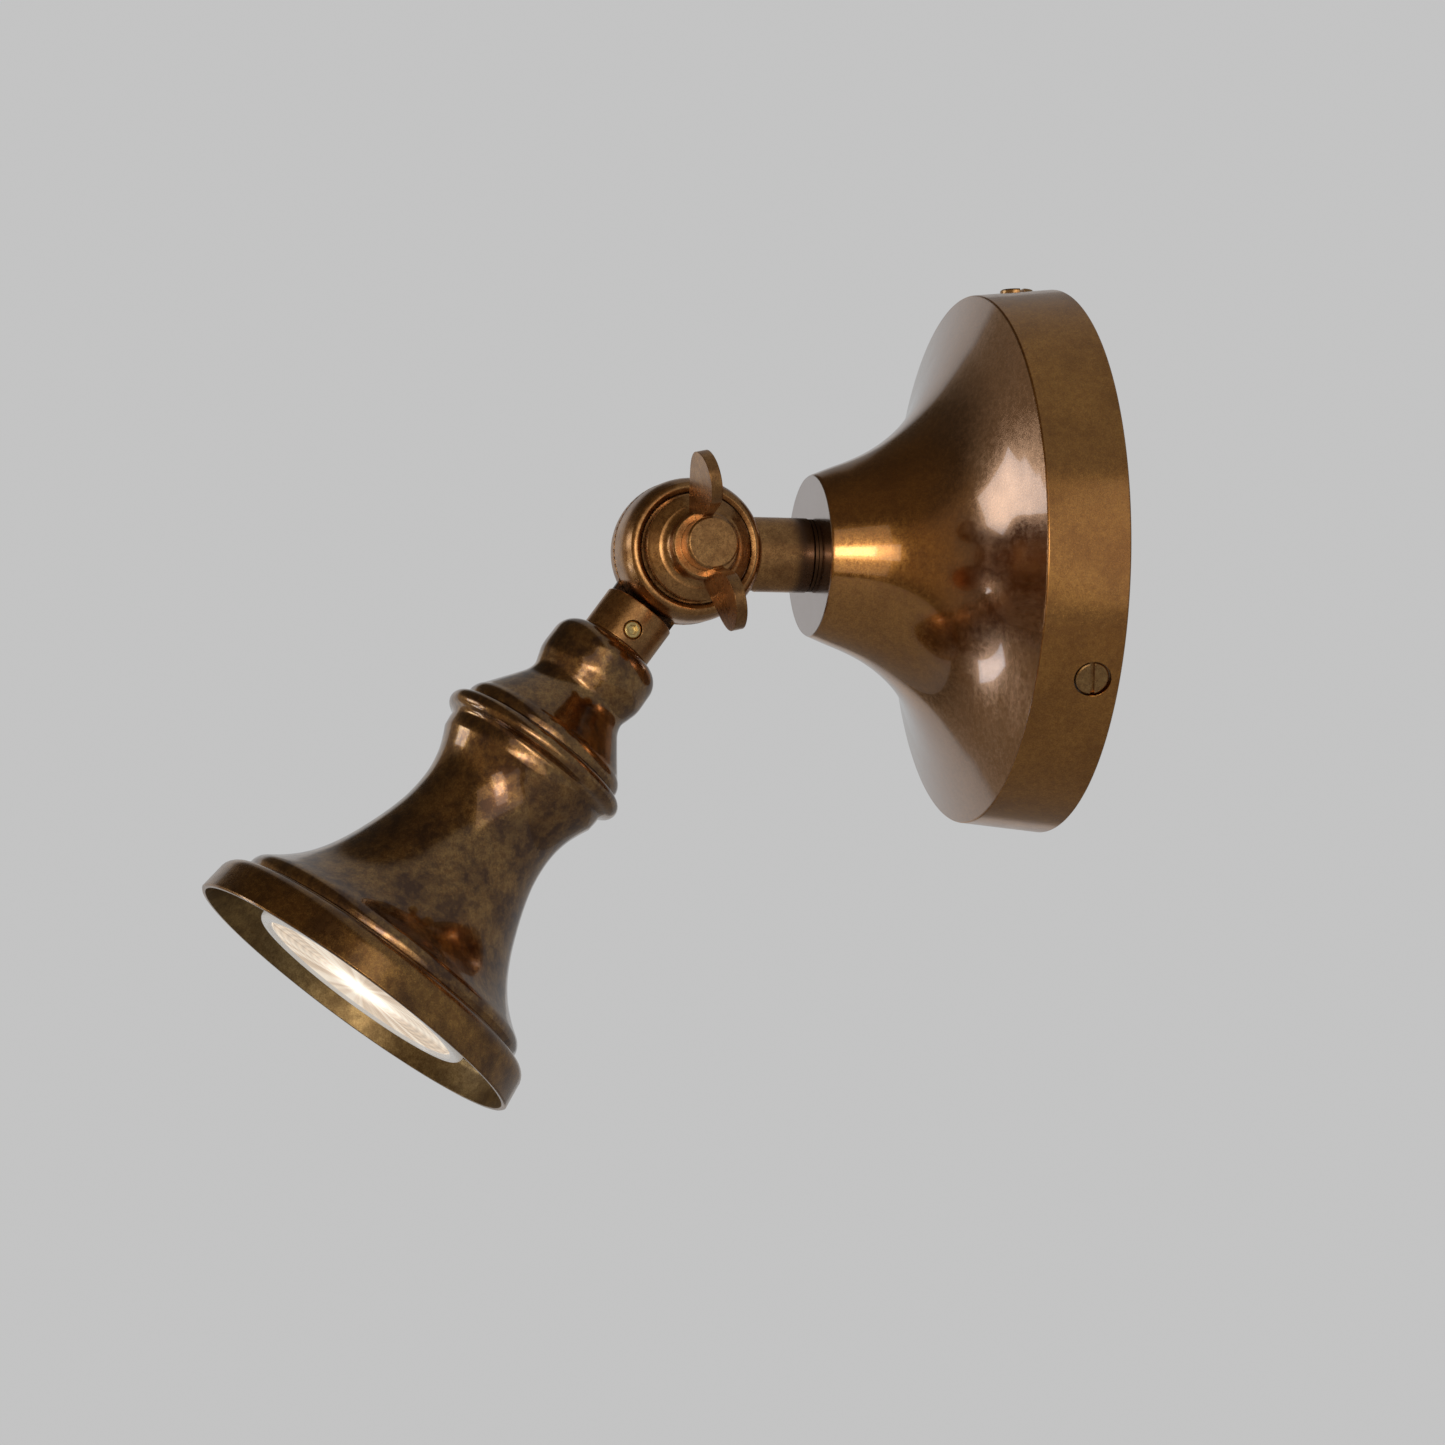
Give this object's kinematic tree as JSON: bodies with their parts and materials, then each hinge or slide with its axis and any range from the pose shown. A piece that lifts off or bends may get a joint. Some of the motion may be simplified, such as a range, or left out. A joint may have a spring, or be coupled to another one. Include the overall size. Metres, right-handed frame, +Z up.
{
  "type": "picture light",
  "caption": "Aged brass wall picture light: trumpet rose, swivelling arm, clamped knuckle with a wing nut and a bell-shaped shade with a reflector lamp.",
  "frame": {"origin": "centre of the back of the rose, on the wall", "axes": "+Z up, +Y into the wall, so the light stands out towards -Y; the knuckle axis is along X with the wing nut on +X"},
  "size_m": [0.1136, 0.1775, 0.1716],
  "materials": {
    "aged_brass": "aged brown-gold brass, satin with a fine speckle",
    "patina_brass": "aged brass with darker mottled patina, satin gloss",
    "screw_brass": "lightly aged brass",
    "plain_brass": "bright brass",
    "zinc_steel": "zinc-plated steel",
    "dark_washer": "blackened spring steel",
    "black_rubber": "matt",
    "white_polyamide": "matt",
    "lead_sheath": "heat-resistant sleeve",
    "earth_sleeve": "green-yellow sleeve",
    "ceramic": "unglazed steatite",
    "lamp_white": "satin white",
    "circuit_white": "white solder mask",
    "lamp_lens": "frosted, glowing warm white"
  },
  "bodies": {
    "rose": {"mounting_plate": "zinc_steel", "cable_grommet": "black_rubber", "terminal_block": "white_polyamide", "terminal_tubes": "plain_brass", "terminal_screws": "zinc_steel", "block_screws": "zinc_steel", "earth_screw": "plain_brass", "earth_lead": "earth_sleeve", "rose_leads": "lead_sheath", "rose_cover": "aged_brass", "cover_screws": "screw_brass"},
    "arm": {"arm_washer": "dark_washer", "arm_knuckle": "aged_brass", "arm_nipple": "zinc_steel", "arm_spring_washer": "zinc_steel", "arm_nuts": "zinc_steel", "knuckle_bolt": "screw_brass", "arm_lead": "lead_sheath"},
    "clamp": {"clamp_washer": "dark_washer"},
    "wing": {"wing_nut": "aged_brass"},
    "head": {"head_knuckle": "aged_brass", "bolt_washer": "zinc_steel", "head_collar": "aged_brass", "grub_screw": "plain_brass", "shade_cap": "patina_brass", "head_nipple": "zinc_steel", "head_nut": "zinc_steel", "holder_strap": "zinc_steel", "lampholder": "ceramic", "holder_screws": "zinc_steel", "holder_contacts": "plain_brass", "head_lead": "lead_sheath", "shade": "patina_brass", "front_ring": "patina_brass"},
    "lamp": {"lamp_body": "lamp_white", "lamp_pins": "zinc_steel", "led_board": "circuit_white", "lamp_rim": "lamp_white", "lamp_lens": "lamp_lens"}
  },
  "joints": [
    {"name": "arm_swivel", "type": "hinge", "parent": "rose", "child": "arm", "pos_m": [0, -0.0513, 0], "axis": [0, 1, 0], "range_deg": [-170, 170]},
    {"name": "head_tilt", "type": "hinge", "parent": "arm", "child": "head", "pos_m": [0, -0.0784, 0], "axis": [1, 0, 0], "range_deg": [-156, 50]},
    {"name": "clamp_slide", "type": "slide", "parent": "arm", "child": "clamp", "axis": [1, 0, 0], "range_m": [0, 0.0016]},
    {"name": "wing_spin", "type": "hinge", "parent": "clamp", "child": "wing", "pos_m": [0, -0.0784, 0], "axis": [1, 0, 0], "range_deg": [0, 720]},
    {"name": "lamp_twist", "type": "hinge", "parent": "head", "child": "lamp", "pos_m": [0, -0.14609, -0.09048], "axis": [0, -0.599, -0.8007], "range_deg": [-22, 0]}
  ],
  "couplings": [
    {"joint": "wing_spin", "follows": "clamp_slide", "rad_per_m": 7854}
  ]
}
